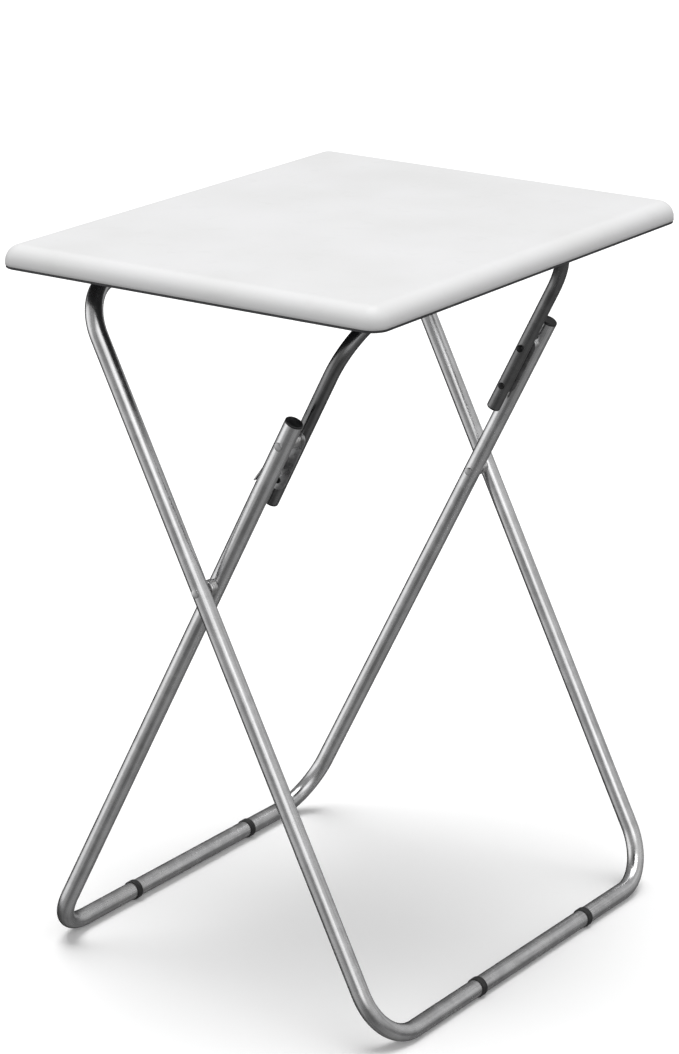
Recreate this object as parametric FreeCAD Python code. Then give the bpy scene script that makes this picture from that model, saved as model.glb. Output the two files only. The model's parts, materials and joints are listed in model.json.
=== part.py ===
import FreeCAD, Part
import math
import os

# Folding table, millimetres. +Z is up, X runs across the crossed legs and Y runs along the floor bars.
# The origin is on the floor, midway between the two floor bars. "front" is the -Y side, "rear" the +Y side.

# ---- driving dimensions ----
HEIGHT = 660.0          # floor to table top
TOP_X = 388.0           # table top, across the crossed legs
TOP_Y = 492.0           # table top, along the bars
TOP_THICK = 20.0
TOP_SHIFT_X = -5.5      # the board sits a little off the middle of the legs
TOP_CORNER_R = 16.0     # corner radius in plan
TOP_EDGE_R = 15.0       # round-over of the upper edge
FILM_THICK = 0.8        # white film over the board
BACKING_THICK = 2.2     # dark sheet under the board
BACKING_INSET = 0.4

FOOT_X = 189.0          # floor bars stand at +FOOT_X (outer frame) and -FOOT_X (inner frame)
LEG_SLOPE = 0.505       # sideways run of a leg per unit of height
LEG_R = 8.0             # outer and inner frame tube
LEG_WALL = 1.2
LINK_R = 6.5            # upper link tube
LINK_WALL = 1.0
BAR_DROP = 30.0         # table top surface to the centres of the two bars under it
OUTER_Y = 228.5         # leg centrelines, out from the middle
INNER_Y = 204.0
LINK_Y = 178.0
FLOOR_BEND_R = 50.0     # bends are given at the tube's centreline
OUTER_TOP_BEND_R = 45.0
LINK_BEND_R = 60.0

RING_PROUD = 1.0        # rubber rings stand this much outside the tube
RING_WIDTH = 7.0
OUTER_RINGS = {"front": -77.0, "rear": 106.0}
INNER_RINGS = {"front": -81.0, "rear": 101.0}

INNER_LEG_END = 593.5   # length of the inner legs, from the floor bar's centre along the leg
LINK_LEG_END = 503.1    # where the link's lower ends are, measured the same way
PLUG_HEAD = 2.0
PLUG_STEM = 14.0
PLUG_GAP = 0.1

RIVET_R = 2.5
RIVET_HEAD_R = 3.8       # low heads, shaped to the tube
RIVET_HEAD_H = 0.9
CAP_R = 3.5              # push-on cap over the inner end of a link rivet
CAP_H = 2.2
CAP_DEEP = 1.5           # how much of the cap the rivet fills
CROSS_SPACER_R = 7.0
LINK_SPACER_R = 6.0
RUN_FIT = 0.05          # radial clearance of everything that turns on a shaft
SIDE_GAP = 0.3          # side clearance of everything that turns

STOP_SHEET = 1.2         # the stop plate is a sheet metal strip on the link's outboard side
STOP_RIVET_AT = 528.0    # its second rivet. The first is the link's pivot
STOP_PLATE_R = 8.5       # its rounded ends, about the two rivets
STOP_EAR_LOW = 528.0     # the bent ear that meets the inner leg, clear of the leg's upper end
STOP_EAR_HIGH = 544.0
STOP_EAR_PAST = 4.5      # its lower corner reaches this far past the inner leg's centreline
STOP_EAR_SHORT = 7.5     # its upper corner stops this much shorter
STOP_RIVET_R = 1.6
STOP_HEAD_R = 3.2
STOP_HEAD_H = 1.1

FLANGE_HALF = 22.0      # cradles and saddles: half width of the screwed flange
FLANGE_THICK = 3.0
HOLDER_Y = 16.0         # their length along the bar
CRADLE_AT = 120.0       # out from the middle
SADDLE_AT = 85.0
CRADLE_GAP = 0.5        # room around the outer frame's bar, which lifts out
CRADLE_WALL = 3.5
CRADLE_INNER_LIP = 5.0  # degrees above level where the cradle's inboard wall ends
CRADLE_OUTER_LIP = 145.0
SADDLE_WALL = 3.0
SCREW_R = 1.75
SCREW_HEAD_R = 3.5
SCREW_HEAD_H = 2.2
SCREW_AT = 17.0         # out from the bar
SCREW_DEPTH = 12.0      # into the table top

SPLICE_LENGTH = 60.0
BUTT_GAP = 0.2

# ---- worked out ----
LEAN = math.atan(LEG_SLOPE)
FLOOR_BAR_Z = LEG_R + RING_PROUD
BAR_Z = HEIGHT - BAR_DROP
CROSS_Z = FLOOR_BAR_Z + FOOT_X / LEG_SLOPE
BAR_X = LEG_SLOPE * (BAR_Z - CROSS_Z)
CROSS_AT = (CROSS_Z - FLOOR_BAR_Z) / math.cos(LEAN)     # along the leg, from the floor bar
BAR_AT = (BAR_Z - FLOOR_BAR_Z) / math.cos(LEAN)
LINK_PIVOT_AT = BAR_AT - BAR_X                          # the link is half as long as the bars are apart
UNDERSIDE_Z = HEIGHT - TOP_THICK
ENDS = {"front": -1.0, "rear": 1.0}

X_AXIS = FreeCAD.Vector(1, 0, 0)
Y_AXIS = FreeCAD.Vector(0, 1, 0)
Z_AXIS = FreeCAD.Vector(0, 0, 1)


def vec(x, y, z):
    return FreeCAD.Vector(x, y, z)


def lean_outer(shape):
    """Stands a shape drawn upright on the outer frame's floor bar."""
    return stand(shape, FOOT_X, -LEAN)


def lean_inner(shape):
    """Stands a shape drawn upright on the inner frame's floor bar."""
    return stand(shape, -FOOT_X, LEAN)


def stand(shape, foot_x, lean):
    turn = FreeCAD.Rotation(Y_AXIS, math.degrees(lean))
    shape.Placement = FreeCAD.Placement(vec(foot_x, 0, FLOOR_BAR_Z), turn).multiply(shape.Placement)
    return shape


def cylinder_between(start, end, radius):
    along = end.sub(start)
    return Part.makeCylinder(radius, along.Length, start, along)


def bend(corner, before, after, bend_r, radius):
    """A quarter turn of a round rod, at a square corner between two runs."""
    centre = corner.sub(before * bend_r).add(after * bend_r)
    start = corner.sub(before * bend_r)
    circle = Part.Wire(Part.makeCircle(radius, start, before))
    return Part.Face(circle).revolve(centre, before.cross(after), 90)


def bent_rod(corners, bends, radius):
    """A round rod through the corners, with a bend of its own radius at each inner corner."""
    pieces = []
    start = corners[0]
    for here, there, beyond, bend_r in zip(corners, corners[1:], corners[2:], bends):
        before = there.sub(here).normalize()
        after = beyond.sub(there).normalize()
        end = there.sub(before * bend_r)
        pieces.append(cylinder_between(start, end, radius))
        pieces.append(bend(there, before, after, bend_r, radius))
        start = there.add(after * bend_r)
    pieces.append(cylinder_between(start, corners[-1], radius))
    return pieces[0].multiFuse(pieces[1:])


def bent_tube(corners, bends, radius, wall):
    return bent_rod(corners, bends, radius).cut(bent_rod(corners, bends, radius - wall))


def cross_hole(y, at, radius):
    """A hole along Y through a leg, in the upright drawing of its frame."""
    reach = 2 * LEG_R
    return Part.makeCylinder(radius, 2 * reach, vec(0, y - reach, at), Y_AXIS)


def drill_both(tube, y, at, radius):
    for side in ENDS.values():
        tube = tube.cut(cross_hole(side * y, at, radius))
    return tube


# ---- outer frame ----
def outer_frame_tube():
    corners = [
        vec(0, BUTT_GAP / 2, BAR_AT),
        vec(0, OUTER_Y, BAR_AT),
        vec(0, OUTER_Y, 0),
        vec(0, -OUTER_Y, 0),
        vec(0, -OUTER_Y, BAR_AT),
        vec(0, -BUTT_GAP / 2, BAR_AT),
    ]
    bends = [OUTER_TOP_BEND_R, FLOOR_BEND_R, FLOOR_BEND_R, OUTER_TOP_BEND_R]
    tube = bent_tube(corners, bends, LEG_R, LEG_WALL)
    return lean_outer(drill_both(tube, OUTER_Y, CROSS_AT, RIVET_R))


def outer_frame_splice():
    radius = LEG_R - LEG_WALL - RUN_FIT
    start = vec(0, -SPLICE_LENGTH / 2, BAR_AT)
    sleeve = Part.makeCylinder(radius, SPLICE_LENGTH, start, Y_AXIS)
    return lean_outer(sleeve.cut(Part.makeCylinder(radius - LEG_WALL, SPLICE_LENGTH, start, Y_AXIS)))


def foot_ring(y):
    start = vec(0, y - RING_WIDTH / 2, 0)
    ring = Part.makeCylinder(LEG_R + RING_PROUD, RING_WIDTH, start, Y_AXIS)
    rims = [edge for edge in ring.Edges if isinstance(edge.Curve, Part.Circle)]
    ring = ring.makeFillet(RING_PROUD * 0.6, rims)
    return ring.cut(Part.makeCylinder(LEG_R, RING_WIDTH, start, Y_AXIS))


# ---- inner frame ----
def inner_frame_tube():
    corners = [
        vec(0, INNER_Y, INNER_LEG_END),
        vec(0, INNER_Y, 0),
        vec(0, -INNER_Y, 0),
        vec(0, -INNER_Y, INNER_LEG_END),
    ]
    tube = bent_tube(corners, [FLOOR_BEND_R, FLOOR_BEND_R], LEG_R, LEG_WALL)
    tube = drill_both(tube, INNER_Y, CROSS_AT, RIVET_R + RUN_FIT)
    return lean_inner(drill_both(tube, INNER_Y, LINK_PIVOT_AT, RIVET_R))


def end_plug(y, at, up, radius, wall):
    """A push-in plug: a stem inside the tube's end and a rounded head outside it."""
    face = vec(0, y, at)
    outward = Z_AXIS * up
    stem = Part.makeCylinder(radius - wall - PLUG_GAP, PLUG_STEM, face, outward * -1)
    head = Part.makeCylinder(radius, PLUG_HEAD, face, outward)
    tip = at + up * PLUG_HEAD
    rim = [edge for edge in head.Edges if edge.Closed and abs(edge.CenterOfMass.z - tip) < 0.01]
    return head.makeFillet(PLUG_HEAD * 0.6, rim).fuse(stem)


def inner_leg_plug(side):
    return lean_inner(end_plug(side * INNER_Y, INNER_LEG_END, 1, LEG_R, LEG_WALL))


def upper_link_plug(side):
    return lean_inner(end_plug(side * LINK_Y, LINK_LEG_END, -1, LINK_R, LINK_WALL))


# ---- upper link ----
def upper_link_tube():
    corners = [
        vec(0, LINK_Y, LINK_LEG_END),
        vec(0, LINK_Y, BAR_AT),
        vec(0, -LINK_Y, BAR_AT),
        vec(0, -LINK_Y, LINK_LEG_END),
    ]
    tube = bent_tube(corners, [LINK_BEND_R, LINK_BEND_R], LINK_R, LINK_WALL)
    tube = drill_both(tube, LINK_Y, LINK_PIVOT_AT, RIVET_R + RUN_FIT)
    return lean_inner(drill_both(tube, LINK_Y, STOP_RIVET_AT, STOP_RIVET_R))


def plate_face_y():
    """The stop plate's outboard face, out from the middle."""
    return LINK_Y + LINK_R + STOP_SHEET


def stop_ear(side):
    """Bent out from the plate's edge, to lie along the inner leg's outboard face."""
    outer_x = -(LEG_R + SIDE_GAP + STOP_SHEET)
    root_y = side * (LINK_Y + LINK_R)
    tip_y = side * (INNER_Y + STOP_EAR_PAST)
    corners = [
        vec(outer_x, root_y, STOP_EAR_LOW),
        vec(outer_x, tip_y, STOP_EAR_LOW),
        vec(outer_x, tip_y - side * STOP_EAR_SHORT, STOP_EAR_HIGH),
        vec(outer_x, root_y, STOP_EAR_HIGH),
    ]
    outline = Part.makePolygon(corners + corners[:1])
    ear = Part.Face(outline).extrude(X_AXIS * STOP_SHEET)
    root = Part.makeBox(
        -outer_x, STOP_SHEET, STOP_EAR_HIGH - STOP_EAR_LOW,
        vec(outer_x, min(root_y, side * plate_face_y()), STOP_EAR_LOW),
    )
    return ear.fuse(root)


def stop_plate(side):
    """A strip with rounded ends on the link's outboard side, and the ear on its edge."""
    face = side * (LINK_Y + LINK_R)
    ends = [Part.makeCylinder(STOP_PLATE_R, STOP_SHEET, vec(0, face, at), Y_AXIS * side)
            for at in (STOP_RIVET_AT, LINK_PIVOT_AT)]
    middle = Part.makeBox(
        2 * STOP_PLATE_R, STOP_SHEET, LINK_PIVOT_AT - STOP_RIVET_AT,
        vec(-STOP_PLATE_R, min(face, side * plate_face_y()), STOP_RIVET_AT),
    )
    plate = middle.multiFuse(ends + [stop_ear(side)]).removeSplitter()
    plate = plate.cut(cross_hole(face, LINK_PIVOT_AT, RIVET_R + RUN_FIT))
    return lean_inner(plate.cut(cross_hole(face, STOP_RIVET_AT, STOP_RIVET_R)))


def stop_plate_rivets():
    rivets = []
    for side in ENDS.values():
        inboard = side * (LINK_Y - LINK_R)
        outboard = side * plate_face_y()
        shaft = cylinder_between(vec(0, inboard, STOP_RIVET_AT), vec(0, outboard, STOP_RIVET_AT), STOP_RIVET_R)
        heads = [
            skirt(side * LINK_Y, inboard, STOP_RIVET_AT, STOP_HEAD_R, LINK_R),
            dome_head(inboard, STOP_RIVET_AT, -side, STOP_HEAD_R, STOP_HEAD_H),
            dome_head(outboard, STOP_RIVET_AT, side, STOP_HEAD_R, STOP_HEAD_H),
        ]
        rivets.append(lean_inner(shaft.multiFuse(heads)))
    return Part.makeCompound(rivets)


# ---- pivots ----
def dome_head(y, at, outward, radius, height):
    """A rivet head with a domed outer rim, its flat side at y."""
    head = Part.makeCylinder(radius, height, vec(0, y, at), Y_AXIS * outward)
    crown = y + outward * height
    rim = [edge for edge in head.Edges if edge.Closed and abs(edge.CenterOfMass.y - crown) < 0.01]
    return head.makeFillet(height * 0.75, rim)


def skirt(tube_y, face_y, at, radius, tube_r):
    """What fills a head out against the round of the tube that it closes on."""
    plug = cylinder_between(vec(0, tube_y, at), vec(0, face_y, at), radius)
    return plug.cut(Part.makeCylinder(tube_r, 4 * tube_r, vec(0, tube_y, at - 2 * tube_r), Z_AXIS))


def pivot_rivet(side, at, fixed_y, inner_face):
    """Closed hard on the frame tube, with a shaft that goes on to inner_face, out from the middle."""
    outer_face = fixed_y + LEG_R
    shaft = cylinder_between(vec(0, side * outer_face, at), vec(0, side * inner_face, at), RIVET_R)
    fill = skirt(side * fixed_y, side * outer_face, at, RIVET_HEAD_R, LEG_R)
    return shaft.multiFuse([fill, dome_head(side * outer_face, at, side, RIVET_HEAD_R, RIVET_HEAD_H)])


def pivot_spacer(side, at, fixed_face_y, turning_face_y, radius):
    """A steel bush against the fixed tube, just clear of what turns."""
    ends = sorted([side * fixed_face_y, side * turning_face_y])
    ring = Part.makeCylinder(radius, ends[1] - ends[0], vec(0, ends[0], at), Y_AXIS)
    return ring.cut(Part.makeCylinder(RIVET_R, ends[1] - ends[0], vec(0, ends[0], at), Y_AXIS))


def cross_rivet(side):
    inner_face = INNER_Y - LEG_R - SIDE_GAP
    rivet = pivot_rivet(side, CROSS_AT, OUTER_Y, inner_face)
    return lean_outer(rivet.fuse(dome_head(side * inner_face, CROSS_AT, -side, RIVET_HEAD_R, RIVET_HEAD_H)))


def cross_spacer(side):
    turning = INNER_Y + LEG_R + SIDE_GAP
    return lean_outer(pivot_spacer(side, CROSS_AT, OUTER_Y - LEG_R, turning, CROSS_SPACER_R))


def link_cap_face():
    """The link rivet's cap starts here, just clear of the link."""
    return LINK_Y - LINK_R - SIDE_GAP


def link_rivet(side):
    return lean_inner(pivot_rivet(side, LINK_PIVOT_AT, INNER_Y, link_cap_face() - CAP_DEEP))


def link_rivet_cap(side):
    face = link_cap_face()
    cap = dome_head(side * face, LINK_PIVOT_AT, -side, CAP_R, CAP_H)
    inner_end = face - CAP_DEEP
    bore = cylinder_between(vec(0, side * face, LINK_PIVOT_AT), vec(0, side * inner_end, LINK_PIVOT_AT), RIVET_R)
    return lean_inner(cap.cut(bore))


def link_spacer(side):
    turning = plate_face_y() + SIDE_GAP
    return lean_inner(pivot_spacer(side, LINK_PIVOT_AT, INNER_Y - LEG_R, turning, LINK_SPACER_R))


# ---- table top ----
def board(inset, low_z, high_z, edge_r):
    """A slab with rounded corners, and a rounded upper edge where edge_r is over 0."""
    size_x = TOP_X - 2 * inset
    size_y = TOP_Y - 2 * inset
    slab = Part.makeBox(size_x, size_y, high_z - low_z, vec(TOP_SHIFT_X - size_x / 2, -size_y / 2, low_z))
    upright = [edge for edge in slab.Edges if abs(edge.tangentAt(edge.FirstParameter).z) > 0.9]
    slab = slab.makeFillet(TOP_CORNER_R - inset, upright)
    if edge_r > 0:
        rim = [edge for edge in slab.Edges if edge.BoundBox.ZMin > high_z - 0.01]
        slab = slab.makeFillet(edge_r, rim)
    return slab


def screw_places():
    """x, y of each screw, and the x of the bar that its cradle or saddle holds."""
    places = []
    for bar_x, at in ((-BAR_X, CRADLE_AT), (BAR_X, SADDLE_AT)):
        for side in ENDS.values():
            for out in (-SCREW_AT, SCREW_AT):
                places.append((bar_x + out, side * at, bar_x))
    return places


def screw_hole(x, y):
    low_z = UNDERSIDE_Z - FLANGE_THICK
    return Part.makeCylinder(SCREW_R, FLANGE_THICK + SCREW_DEPTH, vec(x, y, low_z), Z_AXIS)


def drill_screw_holes(shape):
    for x, y, bar_x in screw_places():
        shape = shape.cut(screw_hole(x, y))
    return shape


def tabletop_core():
    low_z = UNDERSIDE_Z + BACKING_THICK
    return drill_screw_holes(board(FILM_THICK, low_z, HEIGHT - FILM_THICK, TOP_EDGE_R - FILM_THICK))


def tabletop_film():
    low_z = UNDERSIDE_Z + BACKING_THICK
    outside = board(0, low_z, HEIGHT, TOP_EDGE_R)
    return outside.cut(board(FILM_THICK, low_z, HEIGHT - FILM_THICK, TOP_EDGE_R - FILM_THICK))


def tabletop_backing_sheet():
    return drill_screw_holes(board(BACKING_INSET, UNDERSIDE_Z, UNDERSIDE_Z + BACKING_THICK, 0))


def flange(bar_x, y):
    plate = Part.makeBox(
        2 * FLANGE_HALF, HOLDER_Y, FLANGE_THICK,
        vec(bar_x - FLANGE_HALF, y - HOLDER_Y / 2, UNDERSIDE_Z - FLANGE_THICK),
    )
    upright = [edge for edge in plate.Edges if abs(edge.tangentAt(edge.FirstParameter).z) > 0.9]
    return plate.makeFillet(HOLDER_Y / 4, upright)


def outer_bar_cradle(side):
    """Open below and outboard, so that the bar can leave it and come back into it."""
    y = side * CRADLE_AT - HOLDER_Y / 2
    seat_r = LEG_R + CRADLE_GAP
    wall = seat_r + CRADLE_WALL
    inner_lip = BAR_Z + seat_r * math.sin(math.radians(CRADLE_INNER_LIP))
    outer_lip = BAR_Z + seat_r * math.sin(math.radians(CRADLE_OUTER_LIP))
    inner = Part.makeBox(wall, HOLDER_Y, UNDERSIDE_Z - inner_lip, vec(-BAR_X, y, inner_lip))
    outer = Part.makeBox(wall, HOLDER_Y, UNDERSIDE_Z - outer_lip, vec(-BAR_X - wall, y, outer_lip))
    seat = Part.makeCylinder(seat_r, HOLDER_Y, vec(-BAR_X, y, BAR_Z), Y_AXIS)
    cradle = inner.multiFuse([outer, flange(-BAR_X, side * CRADLE_AT)])
    return drill_screw_holes(cradle.cut(seat))


def link_bar_saddle(side):
    y = side * SADDLE_AT - HOLDER_Y / 2
    strap_r = LINK_R + RUN_FIT + SADDLE_WALL
    strap = Part.makeCylinder(strap_r, HOLDER_Y, vec(BAR_X, y, BAR_Z), Y_AXIS)
    neck = Part.makeBox(2 * strap_r, HOLDER_Y, UNDERSIDE_Z - BAR_Z, vec(BAR_X - strap_r, y, BAR_Z))
    saddle = strap.multiFuse([neck, flange(BAR_X, side * SADDLE_AT)])
    bore = Part.makeCylinder(LINK_R + RUN_FIT, HOLDER_Y, vec(BAR_X, y, BAR_Z), Y_AXIS)
    return drill_screw_holes(saddle.cut(bore))


def screws(wanted_bar_x):
    made = []
    for x, y, bar_x in screw_places():
        if bar_x != wanted_bar_x:
            continue
        low_z = UNDERSIDE_Z - FLANGE_THICK
        head = Part.makeCylinder(SCREW_HEAD_R, SCREW_HEAD_H, vec(x, y, low_z), Z_AXIS * -1)
        rim = [edge for edge in head.Edges if edge.Closed and edge.CenterOfMass.z < low_z - 0.1]
        made.append(head.makeFillet(SCREW_HEAD_H * 0.5, rim).fuse(screw_hole(x, y)))
    return Part.makeCompound(made)


# ---- all the nodes ----
def nodes():
    yield "tabletop_core", tabletop_core()
    yield "tabletop_film", tabletop_film()
    yield "tabletop_backing_sheet", tabletop_backing_sheet()
    yield "cradle_screws", screws(-BAR_X)
    yield "saddle_screws", screws(BAR_X)
    yield "outer_frame_tube", outer_frame_tube()
    yield "outer_frame_splice", outer_frame_splice()
    yield "inner_frame_tube", inner_frame_tube()
    yield "upper_link_tube", upper_link_tube()
    yield "stop_plate_rivets", stop_plate_rivets()
    for end, side in ENDS.items():
        yield "outer_bar_cradle_" + end, outer_bar_cradle(side)
        yield "link_bar_saddle_" + end, link_bar_saddle(side)
        yield "outer_foot_ring_" + end, lean_outer(foot_ring(OUTER_RINGS[end]))
        yield "inner_foot_ring_" + end, lean_inner(foot_ring(INNER_RINGS[end]))
        yield "inner_leg_plug_" + end, inner_leg_plug(side)
        yield "upper_link_plug_" + end, upper_link_plug(side)
        yield "cross_rivet_" + end, cross_rivet(side)
        yield "cross_spacer_" + end, cross_spacer(side)
        yield "link_rivet_" + end, link_rivet(side)
        yield "link_rivet_cap_" + end, link_rivet_cap(side)
        yield "link_spacer_" + end, link_spacer(side)
        yield "stop_plate_" + end, stop_plate(side)


os.makedirs("parts", exist_ok=True)
for name, shape in nodes():
    shape.exportStep("parts/" + name + ".step")
    print(name, "solids", len(shape.Solids), "volume", round(shape.Volume), "valid", shape.isValid())
print("frames cross at z", round(CROSS_Z, 3))
print("bars under the top at x", round(BAR_X, 3), "z", BAR_Z)
print("link pivot along the leg", round(LINK_PIVOT_AT, 3))
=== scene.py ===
import json
import math
import random

import bmesh
import bpy
from mathutils import Matrix, Vector


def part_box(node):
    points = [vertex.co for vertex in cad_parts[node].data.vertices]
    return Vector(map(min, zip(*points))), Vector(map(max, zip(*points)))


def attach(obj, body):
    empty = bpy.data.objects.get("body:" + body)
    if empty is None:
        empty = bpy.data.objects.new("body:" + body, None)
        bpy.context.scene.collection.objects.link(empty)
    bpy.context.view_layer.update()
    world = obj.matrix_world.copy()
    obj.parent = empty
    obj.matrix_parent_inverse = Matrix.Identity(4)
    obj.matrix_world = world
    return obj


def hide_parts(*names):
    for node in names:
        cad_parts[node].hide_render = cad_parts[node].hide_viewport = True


# Folding table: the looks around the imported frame. Metres, in the frame's own axes:
# +Z up, X across the crossed legs, Y along the floor bars, "front" towards -Y.

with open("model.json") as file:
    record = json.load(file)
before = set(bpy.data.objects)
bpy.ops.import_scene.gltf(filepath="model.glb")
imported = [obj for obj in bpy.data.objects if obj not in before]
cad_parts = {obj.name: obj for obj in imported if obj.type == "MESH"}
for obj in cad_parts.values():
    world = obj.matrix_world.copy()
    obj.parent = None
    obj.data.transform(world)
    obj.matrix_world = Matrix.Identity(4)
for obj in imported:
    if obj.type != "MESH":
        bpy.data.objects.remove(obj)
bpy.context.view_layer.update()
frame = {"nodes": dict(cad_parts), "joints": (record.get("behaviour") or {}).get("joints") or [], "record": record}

MM = 0.001
X_AXIS = Vector((1, 0, 0))
Y_AXIS = Vector((0, 1, 0))
Z_AXIS = Vector((0, 0, 1))
ENDS = {"front": -1.0, "rear": 1.0}

# ---- places, read from the frame ----
JOINT_AT = {joint["name"]: Vector(joint["pos_m"]) for joint in frame["joints"]}
CROSS = JOINT_AT["frame_fold"]
LINK_PIVOT = JOINT_AT["link_swing"]
LINK_BAR = JOINT_AT["top_tilt"]
OUTER_LOW, OUTER_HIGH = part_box("outer_frame_tube")
INNER_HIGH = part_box("inner_frame_tube")[1]
LINK_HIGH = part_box("upper_link_tube")[1]
FILM_LOW, FILM_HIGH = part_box("tabletop_film")
BACKING_LOW, BACKING_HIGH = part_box("tabletop_backing_sheet")

LEG_R = OUTER_HIGH.z - LINK_BAR.z
LINK_R = LINK_HIGH.z - LINK_BAR.z
FOOT_X = OUTER_HIGH.x - LEG_R
FLOOR_BAR_Z = OUTER_LOW.z + LEG_R
OUTER_Y = OUTER_HIGH.y - LEG_R
INNER_Y = INNER_HIGH.y - LEG_R
LINK_Y = LINK_HIGH.y - LINK_R
LEAN = math.atan2(FOOT_X, CROSS.z - FLOOR_BAR_Z)
# distances along a leg, from its floor bar
BAR_AT = (LINK_BAR.z - FLOOR_BAR_Z) / math.cos(LEAN)
CROSS_AT = (CROSS.z - FLOOR_BAR_Z) / math.cos(LEAN)
LINK_PIVOT_AT = (LINK_PIVOT.z - FLOOR_BAR_Z) / math.cos(LEAN)
UNDERSIDE_Z = BACKING_LOW.z

# A piece is drawn upright, on a floor bar at the origin, and then leans over with its frame.
LEAN_OUTER = Matrix.Translation((FOOT_X, 0, FLOOR_BAR_Z)) @ Matrix.Rotation(-LEAN, 4, "Y")
LEAN_INNER = Matrix.Translation((-FOOT_X, 0, FLOOR_BAR_Z)) @ Matrix.Rotation(LEAN, 4, "Y")

# ---- sizes that the frame's boxes don't give ----
LEG_WALL = 1.2 * MM
LINK_WALL = 1.0 * MM
FLOOR_BEND_R = 50 * MM
OUTER_TOP_BEND_R = 45 * MM
LINK_BEND_R = 60 * MM
INNER_LEG_END = 593.5 * MM
LINK_LEG_END = 503.1 * MM
BUTT_GAP = 0.2 * MM
BEND_FLATTENING = 0.035     # a bent tube is a little oval: flatter in the bend's plane,
BEND_BULGE = 0.01           # and wider across it
BEND_EASING = 0.7           # the lower, the sooner into a bend the oval comes
HEAD_SINK = 0.9             # how deep a rivet's head sinks into a tube's wall, as a share of the wall

# ---- how finely the pieces are drawn ----
ROUND_STEPS = 48            # sides of a tube or a turned piece
HARDWARE_STEPS = 36         # sides of a small rivet or a screw
BEND_STEPS = 28
STRAIGHT_STEP = 24 * MM
SHARP_DEGREES = 35          # an edge that turns by more than this is shaded sharp
BEVEL_DEGREES = 40          # and in a bevelled piece, one that turns by more than this is rounded
BEVEL_SEGMENTS = 2
FLAT_ANGLE = 0.01           # radians. Faces that turn by less than this are one face


# ================= mesh helpers =================
def new_piece(name, mesh, material, body, nodes, place, sharp_degrees):
    """Finishes a mesh as a piece: in place, smooth between its sharp edges, riding on its body."""
    if place is not None:
        mesh.transform(place)
    mesh.validate()
    mesh.shade_smooth()
    mesh.set_sharp_from_angle(angle=math.radians(sharp_degrees))
    piece = bpy.data.objects.new(name, mesh)
    bpy.context.scene.collection.objects.link(piece)
    mesh.materials.append(material)
    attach(piece, body)
    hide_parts(*nodes)
    return piece


def bevel(piece, width):
    """Rounds the piece's sharp edges."""
    modifier = piece.modifiers.new("rounded edges", "BEVEL")
    modifier.width = width
    modifier.segments = BEVEL_SEGMENTS
    modifier.limit_method = "ANGLE"
    modifier.angle_limit = math.radians(BEVEL_DEGREES)


def mesh_from(bm, name):
    """A finished mesh, with its faces turned outwards."""
    bmesh.ops.recalc_face_normals(bm, faces=bm.faces)
    mesh = bpy.data.meshes.new(name)
    bm.to_mesh(mesh)
    bm.free()
    return mesh


def add_ring(bm, points):
    """A closed row of points, as a list of vertices in order."""
    return [bm.verts.new(point) for point in points]


def join_rings(bm, lower, upper):
    """A band of faces between two rings with the same number of points."""
    count = len(lower)
    for i in range(count):
        j = (i + 1) % count
        bm.faces.new((lower[i], lower[j], upper[j], upper[i]))


def straight_stations(start, end):
    """Stations from start up to, but without, end: point, direction, and how far into a bend (0 to 1)."""
    direction = (end - start).normalized()
    count = max(1, round((end - start).length / STRAIGHT_STEP))
    return [(start.lerp(end, i / count), direction, 0.0) for i in range(count)]


def bend_stations(corner, before, after, bend_r):
    """Stations round a right-angled bend: from its start up to, but without, its end."""
    centre = corner - before * bend_r + after * bend_r
    stations = []
    for i in range(BEND_STEPS):
        share = i / BEND_STEPS
        angle = share * math.pi / 2
        point = centre - after * (bend_r * math.cos(angle)) + before * (bend_r * math.sin(angle))
        direction = before * math.cos(angle) + after * math.sin(angle)
        stations.append((point, direction, math.sin(share * math.pi) ** BEND_EASING))
    return stations


def centreline(corners, bends):
    """A line of straight runs through the corners, with a bend of its own radius at each inner one."""
    stations = []
    start = corners[0]
    for here, there, beyond, bend_r in zip(corners, corners[1:], corners[2:], bends):
        before = (there - here).normalized()
        after = (beyond - there).normalized()
        stations += straight_stations(start, there - before * bend_r)
        stations += bend_stations(there, before, after, bend_r)
        start = there + after * bend_r
    stations += straight_stations(start, corners[-1])
    stations.append((corners[-1], stations[-1][1], 0.0))
    return stations


def tube_mesh(name, corners, bends, radius, wall):
    """A bent tube with a real wall. "drawn" holds each point's place on the tube before it was bent."""
    bm = bmesh.new()
    drawn = bm.verts.layers.float_vector.new("drawn")
    skins = []
    for skin_r in (radius, radius - wall):
        rings = []
        travelled = 0.0
        last = corners[0]
        for point, direction, depth in centreline(corners, bends):
            travelled += (point - last).length
            last = point
            in_plane = direction.cross(X_AXIS)
            ring = []
            for i in range(ROUND_STEPS):
                angle = 2 * math.pi * i / ROUND_STEPS
                across = skin_r * (1 + BEND_BULGE * depth) * math.cos(angle)
                within = skin_r * (1 - BEND_FLATTENING * depth) * math.sin(angle)
                vert = bm.verts.new(point + X_AXIS * across + in_plane * within)
                vert[drawn] = (travelled, skin_r * math.cos(angle), skin_r * math.sin(angle))
                ring.append(vert)
            rings.append(ring)
        for lower, upper in zip(rings, rings[1:]):
            join_rings(bm, lower, upper)
        skins.append(rings)
    outside, inside = skins
    join_rings(bm, outside[0], inside[0])
    join_rings(bm, outside[-1], inside[-1])
    return mesh_from(bm, name)


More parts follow.
